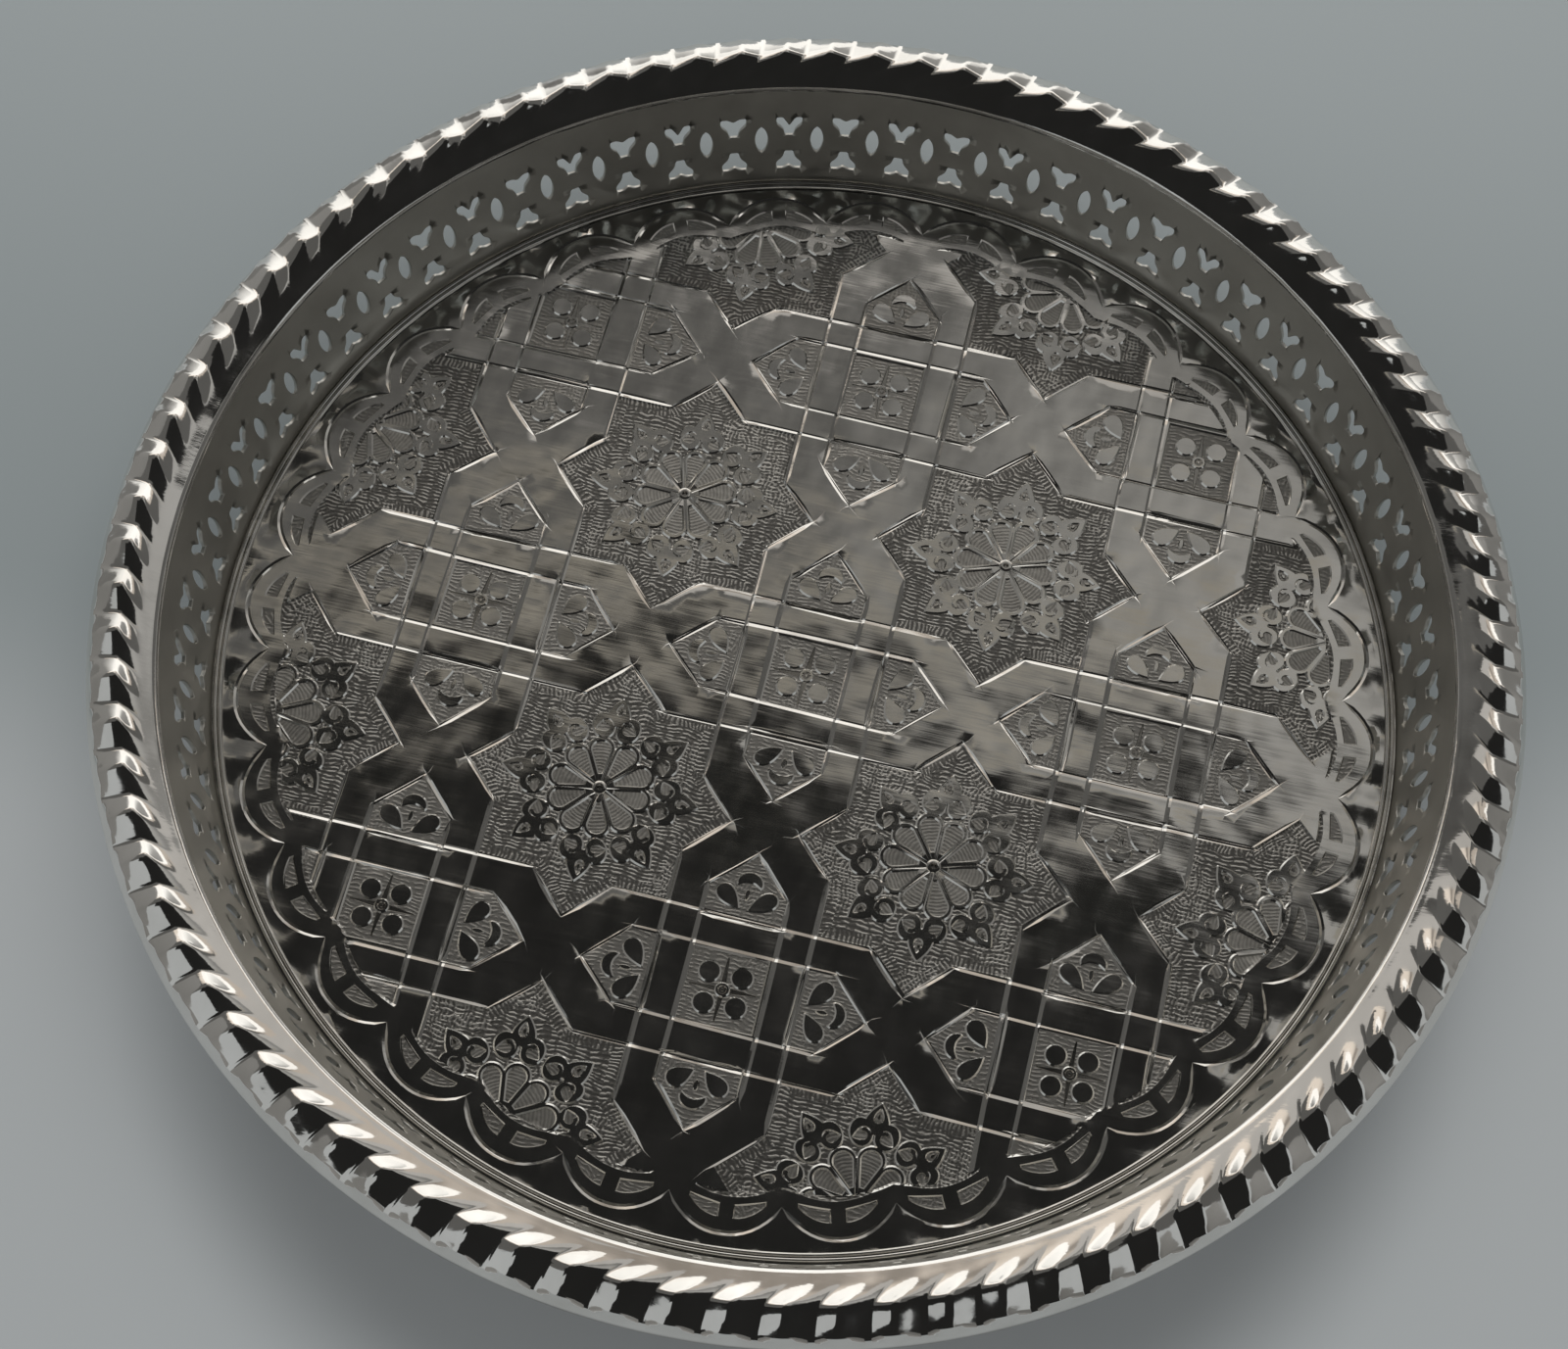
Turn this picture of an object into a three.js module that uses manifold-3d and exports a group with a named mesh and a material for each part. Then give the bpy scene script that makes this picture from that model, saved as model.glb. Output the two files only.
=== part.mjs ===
// Round pierced tea tray in silver plate, millimetres, +Z up, underside on z = 0.
import * as THREE from 'three';
import { mergeVertices } from 'three/addons/utils/BufferGeometryUtils.js';
import Module from 'manifold-3d';

// Overall sizes: the rim lies outside the bend, the gallery leans out from its foot to the bend
const outerDiameter = 300;
const rimWidth = 13.5;
const wallFlare = 7;
const wallHeight = 27.9;
const sheet = 1.0;
const clearance = 0.3;

// Floor plate and the strapwork lattice sunk in it
const floorSheet = 1.2;
const floorFlange = 0.9;
const panelDepth = 0.4;
const latticePitch = 74.2;
const starSide = 42.3;
const squareSide = 16.8;
const strapWidth = 7.1;
const crossStrapWidth = 9.4;
const borderWidth = 14.9;

// Border of paired blocks between the lattice and the gallery
const scallopCount = 32;
const blockInset = 7.9;
const blockDepth = 3.5;
const blockSpacing = 3.3;

// Pierced gallery: each bay has an almond beside two trefoils, at shares of the wall's slope
const bayCount = 64;
const almondWidth = 3.0;
const almondTall = 7.6;
const almondLevel = 0.45;
const trefoilWidth = 6.0;
const trefoilTall = 5.3;
const trefoilNotch = 2.1;
const upperLevel = 0.585;
const lowerLevel = 0.235;

// Bead in the corner at the gallery's foot
const beadWidth = 1.7;
const beadHeight = 0.9;

// Gadrooned rim: a plain cove, then slanting lobes over an arch, then a lip folded round a wire
const lobeCount = 88;
const lobeDepth = 1.6;
const lobeSlant = 10;
const coveWidth = 3.7;
const coveRise = 0.9;
const archRise = 3.6;
const lipDrop = 4.8;
const wireDiameter = 2.2;

// Facets
const lobeSteps = 3;
const roundSteps = 64;
const flatness = 0.004;

const outerRadius = outerDiameter / 2;
const bendRadius = outerRadius - rimWidth;
const footRadius = bendRadius - wallFlare;
const bendLevel = floorSheet + wallHeight;
const wallSlope = Math.hypot(wallFlare, wallHeight);
const lean = Math.atan2(wallFlare, wallHeight);
const wallAcross = sheet / Math.cos(lean);
const bayAngle = 2 * Math.PI / bayCount;
const lobeAngle = 2 * Math.PI / lobeCount;

const wasm = await Module();
wasm.setup();

function toSolid(geometry) {
  const bare = new THREE.BufferGeometry();
  bare.setAttribute('position', geometry.getAttribute('position'));
  bare.setIndex(geometry.index);
  const welded = mergeVertices(bare, 1e-4);
  const index = welded.index.array;
  const corners = [];
  for (let i = 0; i < index.length; i += 3) {
    const [a, b, c] = index.slice(i, i + 3);
    if (a !== b && b !== c && c !== a) corners.push(a, b, c);
  }
  return new wasm.Manifold(new wasm.Mesh({
    numProp: 3,
    vertProperties: new Float32Array(welded.getAttribute('position').array),
    triVerts: new Uint32Array(corners),
  }));
}

// Flat faces that a cut has split are joined again
function toGeometry(solid) {
  const mesh = solid.asOriginal().simplify(flatness).getMesh();
  const geometry = new THREE.BufferGeometry();
  geometry.setAttribute('position', new THREE.BufferAttribute(new Float32Array(mesh.vertProperties), 3));
  geometry.setIndex(new THREE.BufferAttribute(new Uint32Array(mesh.triVerts), 1));
  geometry.computeVertexNormals();
  return geometry;
}

// A closed ring round Z from [radius, level] points listed counterclockwise
function ring(profile, steps) {
  const points = [...profile, profile[0]].map(([r, z]) => new THREE.Vector2(r, z));
  return new THREE.LatheGeometry(points, steps).rotateX(Math.PI / 2);
}

function disc(radius, low, high, steps) {
  return new THREE.CylinderGeometry(radius, radius, high - low, steps)
    .rotateX(Math.PI / 2).translate(0, 0, (low + high) / 2);
}

function prism(outline, low, high) {
  const shape = new THREE.Shape(outline.map(([x, y]) => new THREE.Vector2(x, y)));
  const geometry = new THREE.ExtrudeGeometry(shape, { depth: high - low, bevelEnabled: false });
  geometry.setIndex([...Array(geometry.getAttribute('position').count).keys()]);
  return geometry.translate(0, 0, low);
}

// A point on the gallery at a height above the floor, outside its inner face by the given wall
function onWall(height, across) {
  return [footRadius + wallFlare * height / wallHeight + across, floorSheet + height];
}

// Two crossed squares with one side length
function starOutline() {
  const tip = starSide / Math.SQRT2;
  const notch = starSide / 2 / Math.cos(Math.PI / 8);
  const outline = [];
  for (let k = 0; k < 16; k++) {
    const reach = k % 2 === 0 ? tip : notch;
    const angle = k * Math.PI / 8;
    outline.push([reach * Math.cos(angle), reach * Math.sin(angle)]);
  }
  return outline;
}

function squareOutline() {
  const half = squareSide / 2;
  return [[-half, -half], [half, -half], [half, half], [-half, half]];
}

// Five-sided panel between two stars and a square, one strap's width from each
function houseOutline() {
  const half = latticePitch / 2 - starSide / 2 - strapWidth;
  const base = squareSide / 2 + strapWidth;
  const tip = latticePitch - starSide / Math.SQRT2 - crossStrapWidth * Math.SQRT2;
  const eave = tip - half;
  return [[-half, base], [half, base], [half, eave], [0, tip], [-half, eave]];
}

function blockOutline(middle) {
  const outer = footRadius - blockInset;
  const inner = outer - blockDepth;
  const half = Math.PI / (2 * scallopCount) - blockSpacing / (outer + inner);
  const corners = [[inner, -half], [outer, -half], [outer, half], [inner, half]];
  return corners.map(([r, turn]) => [r * Math.cos(middle + turn), r * Math.sin(middle + turn)]);
}

// Disc with the lattice's panels and the border's blocks sunk in its upper face
function floorPlate() {
  const edge = footRadius + wallAcross + floorFlange;
  const plate = toSolid(disc(edge, 0, floorSheet, roundSteps));
  const low = floorSheet - panelDepth;
  const high = floorSheet + panelDepth;
  const panels = [];
  const sink = (outline, turn, x, y) => {
    panels.push(toSolid(prism(outline, low, high).rotateZ(turn).translate(x, y, 0)));
  };
  const fieldRadius = footRadius - borderWidth;
  const reach = Math.ceil(fieldRadius / latticePitch);
  for (let i = -reach; i <= reach; i++) {
    for (let j = -reach; j <= reach; j++) {
      const [x, y] = [i * latticePitch, j * latticePitch];
      sink(starOutline(), 0, x + latticePitch / 2, y + latticePitch / 2);
      sink(squareOutline(), 0, x, y);
      for (let k = 0; k < 4; k++) sink(houseOutline(), k * Math.PI / 2, x, y);
    }
  }
  const field = toSolid(disc(fieldRadius, 0, 2 * floorSheet, roundSteps));
  const blocks = [];
  for (let k = 0; k < 2 * scallopCount; k++) {
    const middle = (k + 0.5) * Math.PI / scallopCount;
    blocks.push(toSolid(prism(blockOutline(middle), low, high)));
  }
  const lattice = wasm.Manifold.union(panels).intersect(field);
  return plate.subtract(lattice).subtract(wasm.Manifold.union(blocks));
}

// Pointed oval standing on the wall's slope
function almondOutline() {
  const [w, h] = [almondWidth / 2, almondTall / 2];
  const belly = 0.3 * h;
  return [[0, -h], [w, -belly], [w, belly], [0, h], [-w, belly], [-w, -belly]];
}

// A foot and two spread arms with a notch between them, pointing down
function trefoilOutline() {
  const [w, h] = [trefoilWidth / 2, trefoilTall / 2];
  const right = [[0.24 * w, -h], [w, 0.48 * h], [0.62 * w, h]];
  const left = right.map(([x, y]) => [-x, y]).reverse();
  return [...right, [0, h - trefoilNotch], ...left];
}

// Leaning wall with its almonds and trefoils cut right through
function galleryBand() {
  const foot = clearance;
  const top = wallHeight - sheet - clearance;
  const profile = [onWall(foot, 0), onWall(foot, wallAcross), onWall(top, wallAcross), onWall(top, 0)];
  const wall = toSolid(ring(profile, bayCount));
  const through = 3 * sheet;
  const holes = [];
  const pierce = (outline, flip, level, turn) => {
    const hole = prism(outline, -through, through).rotateZ(flip).translate(0, level * wallSlope, 0);
    hole.rotateX(Math.PI / 2 + lean).translate(0, -footRadius, floorSheet).rotateZ(turn * bayAngle);
    holes.push(toSolid(hole));
  };
  for (let bay = 0; bay < bayCount; bay++) {
    pierce(almondOutline(), 0, almondLevel, bay + 0.25);
    pierce(trefoilOutline(), 0, upperLevel, bay + 0.75);
    pierce(trefoilOutline(), Math.PI, lowerLevel, bay + 0.75);
  }
  return wall.subtract(wasm.Manifold.union(holes));
}

// Half-round ring lying in the corner between the floor and the gallery
function footBead() {
  const outer = footRadius - clearance;
  const base = floorSheet + clearance;
  const profile = [[outer - beadWidth, base], [outer, base], [outer - 0.2 * beadWidth, base + beadHeight],
    [outer - 0.7 * beadWidth, base + beadHeight]];
  return toSolid(ring(profile, roundSteps));
}

// Cove and slanting lobes over a hollow that is open below, with the lip folded in under the wire
function gadroonRim() {
  const coveRadius = bendRadius + coveWidth;
  const archHalf = (outerRadius - coveRadius) / 2;
  const archRadius = outerRadius - archHalf;
  const archLevel = bendLevel + coveRise;
  const lipLevel = archLevel - lipDrop;
  const onArch = (turn) => [archRadius + archHalf * Math.cos(turn), archLevel + archRise * Math.sin(turn)];
  const rows = [
    { point: [bendRadius - sheet, lipLevel], depth: 0, along: 0 },
    { point: [outerRadius, lipLevel], depth: 0, along: 1 },
    { point: onArch(0), depth: 0.5, along: 1 },
    { point: onArch(Math.PI / 5), depth: 1, along: 0.8 },
    { point: onArch(Math.PI / 2), depth: 1, along: 0.5 },
    { point: onArch(Math.PI), depth: 0, along: 0 },
    { point: [bendRadius, bendLevel], depth: 0, along: 0 },
  ];
  const outer = ring(rows.map((row) => row.point), lobeCount * lobeSteps);
  const place = outer.getAttribute('position');
  const span = rows.length + 1;
  for (let v = 0; v < place.count; v++) {
    const row = rows[(v % span) % rows.length];
    const [r, z] = row.point;
    const step = Math.floor(v / span) % lobeSteps;
    const valley = lobeDepth * row.depth * (1 - Math.sin(Math.PI * step / lobeSteps));
    const inward = Math.atan2(archLevel - z, archRadius - r);
    const turn = Math.atan2(place.getY(v), place.getX(v)) - row.along * lobeSlant / outerRadius;
    const reach = r + valley * Math.cos(inward);
    place.setXYZ(v, reach * Math.cos(turn), reach * Math.sin(turn), z + valley * Math.sin(inward));
  }
  const roof = archRise - lobeDepth - sheet;
  const wallInside = outerRadius - lobeDepth / 2 - sheet;
  const foldEnd = wallInside - clearance - wireDiameter;
  const past = bendRadius - 2 * sheet;
  const hollow = [[past, lipLevel - sheet], [foldEnd, lipLevel - sheet], [foldEnd, lipLevel + sheet],
    [wallInside, lipLevel + sheet], [wallInside, archLevel - sheet], [archRadius + 0.5 * archHalf, archLevel + 0.6 * roof],
    [archRadius, archLevel + roof], [coveRadius, archLevel - sheet], [past, bendLevel - 1.2 * sheet]];
  return toSolid(outer).subtract(toSolid(ring(hollow, roundSteps)));
}

// Stiffening wire lying on the fold of the lip
function rimWire() {
  const radius = outerRadius - lobeDepth / 2 - sheet - clearance - wireDiameter / 2;
  const level = bendLevel + coveRise - lipDrop + sheet + clearance + wireDiameter / 2;
  return toSolid(new THREE.TorusGeometry(radius, wireDiameter / 2, 5, roundSteps).translate(0, 0, level));
}

function piece(name, solid, color, roughness) {
  const material = new THREE.MeshStandardMaterial({ color, roughness, metalness: 1 });
  const mesh = new THREE.Mesh(toGeometry(solid), material);
  mesh.name = name;
  return mesh;
}

const tray = new THREE.Group();
tray.add(piece('floor_plate', floorPlate(), 0xc9c6bf, 0.3));
tray.add(piece('gallery_band', galleryBand(), 0xbdb9b0, 0.25));
tray.add(piece('foot_bead', footBead(), 0xd2cfc8, 0.15));
tray.add(piece('gadroon_rim', gadroonRim(), 0xd6d3cc, 0.12));
tray.add(piece('rim_wire', rimWire(), 0x8d8f91, 0.4));

export default tray;
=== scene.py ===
import math
import random

import bmesh
import bpy
import numpy as np
from mathutils import Matrix, Vector, kdtree
from mathutils.geometry import delaunay_2d_cdt


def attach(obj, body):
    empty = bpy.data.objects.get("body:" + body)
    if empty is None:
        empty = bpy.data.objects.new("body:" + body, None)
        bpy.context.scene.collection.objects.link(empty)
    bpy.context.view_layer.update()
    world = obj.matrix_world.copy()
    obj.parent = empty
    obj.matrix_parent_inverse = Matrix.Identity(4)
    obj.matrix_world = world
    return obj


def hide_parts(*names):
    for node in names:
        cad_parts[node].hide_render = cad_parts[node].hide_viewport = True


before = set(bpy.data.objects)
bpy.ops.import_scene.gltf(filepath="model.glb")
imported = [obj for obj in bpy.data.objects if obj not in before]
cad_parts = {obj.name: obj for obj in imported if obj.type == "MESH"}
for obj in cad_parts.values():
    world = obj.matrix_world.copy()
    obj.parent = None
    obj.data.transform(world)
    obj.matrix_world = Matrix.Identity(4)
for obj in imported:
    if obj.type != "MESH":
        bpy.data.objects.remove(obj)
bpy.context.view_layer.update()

rng = random.Random(41)

# Sizes in millimetres, the same as the solids have
MM = 0.001
FOOT_RADIUS = 129.5
PLATE_RADIUS = 131.4
FLOOR_TOP = 1.2
PITCH = 74.2
STAR_HALF = 21.15
SQUARE_HALF = 8.4
STRAP = 7.1
HOUSE_HALF = 8.85
HOUSE_BASE = SQUARE_HALF + STRAP
HOUSE_EAVE = 22.15
HOUSE_TIP = 31.0
LINE_FAR = PITCH / 2 - STAR_HALF
NOTCH_FAR = 28.3
SCALLOPS = 32
SCALLOP_ANGLE = 2 * math.pi / SCALLOPS
ARCH_CUSP = 118.1
ARCH_RISE = 6.5
FIELD_EDGE = 114.2
FIELD_BULGE = 1.8

# Levels of the relief under the polished straps, and how wide the edges down to them are
GROUND = -0.32
RECESS = -0.5
MOTIF = -0.06
STAR_EDGE = 0.4
PANEL_EDGE = 0.38
MOTIF_EDGE = 0.36
SATIN_EDGE = 0.3
CUT_EDGE = 0.16
SIDE_STEP = 3.0
COMB_REACH = 2.6

# Star: a rosette of petals, and clusters of a leaf between two lobes, each length and width, then its place
PETALS = 10
PETAL_REACH = 11.3
PETAL_ROOTS = (0.9, 2.7)
PETAL_PAST = (0.9, 0.3)
PETAL_EDGES = (0.4, 0.34)
PETAL_LAP = 0.04
PETAL_GAP = 0.42
EYE = 3.2
EYE_HOLE = 1.3
CLUSTERS = 8
LEAF, LEAF_AT = (7.8, 6.2), (18.2, 0.0)
VEIN, VEIN_AT = (3.5, 2.5), (18.7, 0.0)
VEIN_CUT = (1.5, 0.9)
LOBE, LOBE_AT, LOBE_TURN = (6.4, 5.3), (14.5, 2.75), 0.3
CURL, CURL_AT, CURL_AIM = (4.2, 3.5), (14.2, 2.85), 2.1

# The line that curls into each lobe: its turn, its reach and half width from end to end, and its middle
CURL_START = 0.5
CURL_TURN = 1.35 * math.pi
CURL_REACH = (2.0, 0.75)
CURL_HALF = (0.4, 0.58)
CURL_MIDDLE = -0.35

# Five-sided panel: two drops and a crescent round a seed
DROP, DROP_AT, DROP_AIM = (7.2, 4.8), (3.6, 20.2), (-3.2, -2.5)
CRESCENT_RADIUS = 2.6
CRESCENT_THICK = 1.25
CRESCENT_LEVEL = 22.9
CRESCENT_TIP = 0.1
SEED, SEED_LEVEL = (1.3, 2.8), 21.5

# Square: four round drops between four wedges, round a boss
WEDGE = np.array([[1.6, -0.6], [7.2, -0.16], [7.2, 0.16], [1.6, 0.6]])
ROUND, ROUND_AT = 5.0, 3.4

# How far each motif reaches from its own centre
STAR_REACH = 30
SQUARE_REACH = 12
HOUSE_REACH = 32

# Chased lines
LINE_HALF = 0.52
LINE_DEPTH = 0.2
LINE_PAST = 0.8
LINE_STEP = 2.6

# Border: paired blocks and a strip in each scallop, by radius and reach along the border, and its outline
BLOCK_OUTER = (121.3, 3.1)
BLOCK_INNER = (118.4, 1.2)
BLOCK_REACH = (1.5, 6.7)
BLOCK_RADIUS = 120
STRIP_RADII = (116.95, 115.75)
STRIP_BOW = 1.3
STRIP_REACH = 7.0 / 116
STRIP_LEVEL = -0.2
STRIP_EDGE = 0.25
ARCH_HALF = 0.55

# Soft dents between the border and the gallery, and the seam where field and border meet
SWELL_DEPTH = -0.42
SWELL_EDGE = 128.2
SEAM = 0.3
SEAM_KEEP = 0.4

# Unevenness of the sheet: seed, number of waves, their lengths and height; it dies out at the edge
UNEVEN = ((3, 14, 34.0, 95.0, 0.17), (5, 10, 12.0, 22.0, 0.02))
CALM_EDGE = 127.5
CALM_REACH = 6.0

# The chasing tool leaned one way, so that lines are deepest on that side
TOOL_LEAN = 0.42
LEAN_TOWARDS = np.array([-0.19, 0.98])

# Name of the face value that holds which way the hatching runs
STROKE_TURN = "stroke_turn"

# Slots of the floor's faces, the steps that recur, and the boss's: width, points, level, edge and slot
POLISHED, MATTED, SUNKEN, SATIN, UNDER, PANEL = range(6)
RAISED = (MOTIF, MOTIF_EDGE, POLISHED)
CHASED = (GROUND, SATIN_EDGE, SATIN, POLISHED)
FLAT = (GROUND, PANEL_EDGE, PANEL, POLISHED)
BOSS = ((3.4, 18, -0.12, 0.3, POLISHED), (2.0, 14, RECESS, 0.25, SUNKEN), (0.9, 8, -0.2, 0.15, POLISHED))

# Sharpest mitre of an inset loop, width at a cut's ends, what puts a side out of reach, and small gaps
MITRE = 0.35
THIN_END = 0.12
OUT_OF_REACH = 50.0
TINY = 1e-12
WELD = 0.004


def smooth(t):
    t = np.clip(t, 0.0, 1.0)
    return t * t * (3.0 - 2.0 * t)


def turned(points, angle, place=(0.0, 0.0), scale=1.0):
    c, s = math.cos(angle) * scale, math.sin(angle) * scale
    points = np.asarray(points, float)
    return points @ np.array([[c, s], [-s, c]]) + np.asarray(place, float)


def unit(v):
    return v / np.maximum(np.linalg.norm(v, axis=1, keepdims=True), TINY)


def left_of(v):
    return np.stack([-v[:, 1], v[:, 0]], 1)


def polar(radius, turn):
    radius, turn = np.broadcast_arrays(np.asarray(radius, float), turn)
    return np.stack([radius * np.cos(turn), radius * np.sin(turn)], 1)


def lengths(points):
    """Length along a line up to each of its points."""
    return np.concatenate([[0], np.cumsum(np.linalg.norm(np.diff(points, axis=0), axis=1))])


def within(points, low, high):
    """Places of the points that lie in a box."""
    return np.flatnonzero(((points >= low) & (points <= high)).all(1))


def ring(base, count):
    """Edges that join so many points in a closed chain."""
    return [(base + k, base + (k + 1) % count) for k in range(count)]


def to_segments(points, start, step):
    """Gap from each segment's start to each point, the nearest share along it, and the distance there."""
    gap = points[:, None, :] - start[None]
    along = np.clip((gap * step).sum(2) / np.maximum((step * step).sum(1), TINY), 0, 1)
    return gap, along, np.sqrt(((gap - along[..., None] * step) ** 2).sum(2))


def loop_distance(points, loop):
    """Distance from each point to a closed loop, positive inside it."""
    step = np.roll(loop, -1, axis=0) - loop
    dist = to_segments(points, loop, step)[2].min(1)
    low, high = loop[:, 1], loop[:, 1] + step[:, 1]
    level = points[:, 1][:, None]
    crosses = (low > level) != (high > level)
    rise = np.where(step[:, 1] == 0, TINY, step[:, 1])
    at = loop[:, 0] + (level - low) * step[:, 0] / rise
    inside = (crosses & (points[:, 0][:, None] < at)).sum(1) % 2 == 1
    return np.where(inside, dist, -dist)


def inset(loop, by):
    """The loop moved inwards, with mitred corners; loops run counterclockwise."""
    after = left_of(unit(np.roll(loop, -1, axis=0) - loop))
    before = np.roll(after, 1, axis=0)
    mid = unit(before + after)
    return loop + mid * (by / np.maximum((mid * before).sum(1, keepdims=True), MITRE))


def resampled(loop, step):
    """A closed loop with its corners kept and points added along its long sides."""
    points = []
    for a, b in zip(loop, np.roll(loop, -1, axis=0)):
        count = max(1, int(np.linalg.norm(b - a) / step))
        points.extend(a + (b - a) * k / count for k in range(count))
    return np.array(points)


class Relief:
    """Outlines that the sheet is triangulated along, and the steps that shape it inside them."""

    def __init__(self, keep):
        self.keep = keep
        self.points = []
        self.edges = []
        self.steps = []
        self.combs = []

    def line(self, points, closed):
        base = len(self.points)
        kept = self.keep(points)
        self.points.extend(map(tuple, points))
        chain = ring(0, len(points)) if closed else ring(0, len(points))[:-1]
        self.edges.extend((base + a, base + b) for a, b in chain if kept[a] and kept[b])

    def sink(self, loop, level, ramp, slot, edge_slot=None):
        """The area in the loop goes to a level, over a ramp along its edge."""
        self.line(loop, True)
        self.line(inset(loop, ramp), True)

        def shape(points, z, slots):
            d = loop_distance(points, loop)
            z += (level - z) * np.clip(d / ramp, 0, 1)
            slots[d > 0] = slot
            if edge_slot is not None:
                slots[(d > 0) & (d <= ramp)] = edge_slot
        self.steps.append((loop.min(0), loop.max(0), shape))

    def comb(self, loop, reach):
        """Strokes within reach of the loop's edge run square to that edge."""
        self.line(inset(loop, reach), True)
        self.combs.append((loop, reach))

    def stroke_turns(self, points):
        turns = np.zeros(len(points))
        for loop, reach in self.combs:
            near = within(points, loop.min(0), loop.max(0))
            spots = points[near]
            edge = loop_distance(spots, loop)
            step = np.roll(loop, -1, axis=0) - loop
            gap = spots[:, None, :] - (loop + step / 2)[None]
            along = np.abs((gap * step).sum(2)) / (step * step).sum(1)
            normal = left_of(unit(step))
            off = np.abs((gap * normal).sum(2)) + OUT_OF_REACH * (along > 0.5)
            nearest = off.argmin(1)
            aim = np.arctan2(normal[nearest, 1], normal[nearest, 0])
            close = (edge > 0) & (edge < reach)
            turns[near[close]] = aim[close]
        return turns

    def dome(self, loop, foot, rise, reach, slot):
        """A swelling that starts at the loop and rounds over within its reach."""
        rings = 3
        for k in range(rings):
            self.line(inset(loop, reach * (k / rings) ** 1.4), True)

        def shape(points, z, slots):
            d = loop_distance(points, loop)
            t = 1 - np.clip(d / reach, 0, 1)
            height = foot + rise * np.sqrt(np.clip(1 - t * t, 0, 1))
            inside = d > -1e-6
            z[inside] = height[inside]
            slots[d > 0] = slot
        self.steps.append((loop.min(0), loop.max(0), shape))

    def groove(self, points, half, depth, lean=0.0, taper=2.0):
        """A cut of V section along an open line, running out at both ends; lean moves its bottom sideways."""
        length = lengths(points)
        thin = lambda at: np.clip(np.minimum(at, length[-1] - at) / taper, THIN_END, 1)
        side = left_of(unit(np.gradient(points, axis=0))) * half * thin(length)[:, None]
        for share in (lean, 1, -1):
            self.line(points + side * share, False)
        delta = np.diff(points, axis=0)

        def shape(places, z, slots):
            gap, along, d = to_segments(places, points[:-1], delta)
            nearest = d.argmin(1)
            rows = np.arange(len(places))
            across, run = gap[rows, nearest], delta[nearest]
            left = np.sign(run[:, 0] * across[:, 1] - run[:, 1] * across[:, 0])
            width = thin(length[nearest] + along[rows, nearest] * np.diff(length)[nearest])
            t = d[rows, nearest] * left / (half * width)
            cut = np.clip(np.where(t > lean, (1 - t) / (1 - lean), (1 + t) / (1 + lean)), 0, 1)
            z -= depth * width * cut
            slots[cut > 0.02] = POLISHED
        self.steps.append((points.min(0) - half, points.max(0) + half, shape))

    def shape(self, points):
        z = np.zeros(len(points))
        slots = np.full(len(points), POLISHED)
        for low, high, step in self.steps:
            near = within(points, low, high)
            part_z, part_slots = z[near], slots[near]
            step(points[near], part_z, part_slots)
            z[near], slots[near] = part_z, part_slots
        return z, slots


def scallop_place(points):
    """Radius of each point, and its place across its scallop from cusp (-1) to cusp (1)."""
    r = np.hypot(points[:, 0], points[:, 1])
    turn = np.arctan2(points[:, 1], points[:, 0]) / SCALLOP_ANGLE
    return r, 2 * (turn - np.floor(turn)) - 1


def field_edge(s):
    return FIELD_EDGE + FIELD_BULGE * (1 - s * s)


def arch_radius(s):
    return ARCH_CUSP + ARCH_RISE * (1 - np.abs(s) ** 2.2)


def past_field(points):
    """How far each point lies beyond the edge of the field."""
    r, s = scallop_place(points)
    return r - field_edge(s)


def ellipse(width, length, count):
    t = np.arange(count) * 2 * math.pi / count
    return np.stack([width / 2 * np.cos(t), length / 2 * np.sin(t)], 1)


def drop(length, width, count):
    """A teardrop lying along x with its point at the right."""
    t = np.arange(count) * 2 * math.pi / count
    return np.stack([length / 2 * np.cos(t), width / 2 * 1.18 * np.sin(t) * np.sin(t / 2)], 1)


def star_loop():
    k = np.arange(16)
    tip, notch = STAR_HALF * math.sqrt(2), STAR_HALF / math.cos(math.pi / 8)
    return polar(np.where(k % 2, notch, tip), k * math.pi / 8)


def petal_loop(half_angle, inner, outer, count):
    """A rosette petal along x: narrow at the middle of the rosette, round at its end."""
    wide = outer / (1 + math.sin(half_angle))
    radius = wide * math.sin(half_angle)
    t = np.linspace(-math.pi / 2 - half_angle, math.pi / 2 + half_angle, count)[1:-1]
    end = polar(radius, t) + [wide, 0.0]
    half = inner * math.tan(half_angle)
    return np.concatenate([[[inner, half], [inner, -half]], end])


def jitter(amount):
    return rng.uniform(-amount, amount)


def about(values, *slips):
    """Values, each moved by a slip of the hand."""
    return [value + jitter(slip) for value, slip in zip(values, slips)]


def hand(place, slip, turn, grow):
    """A place, angle and scale as a hand would strike them."""
    return about(place, slip, slip), jitter(turn), 1 + jitter(grow)


def curl_line(side):
    """The dark line that curls into a lobe from beside its point, wider at its inner end."""
    t = np.linspace(0, 1, 12)
    turn = side * (CURL_START + CURL_TURN * t)
    radius = CURL_REACH[0] + (CURL_REACH[1] - CURL_REACH[0]) * t
    half = CURL_HALF[0] + (CURL_HALF[1] - CURL_HALF[0]) * t
    loop = np.concatenate([polar(radius + half, turn), polar(radius - half, turn)[::-1]])
    return (loop if side > 0 else loop[::-1]) + [CURL_MIDDLE, 0.0]


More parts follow.
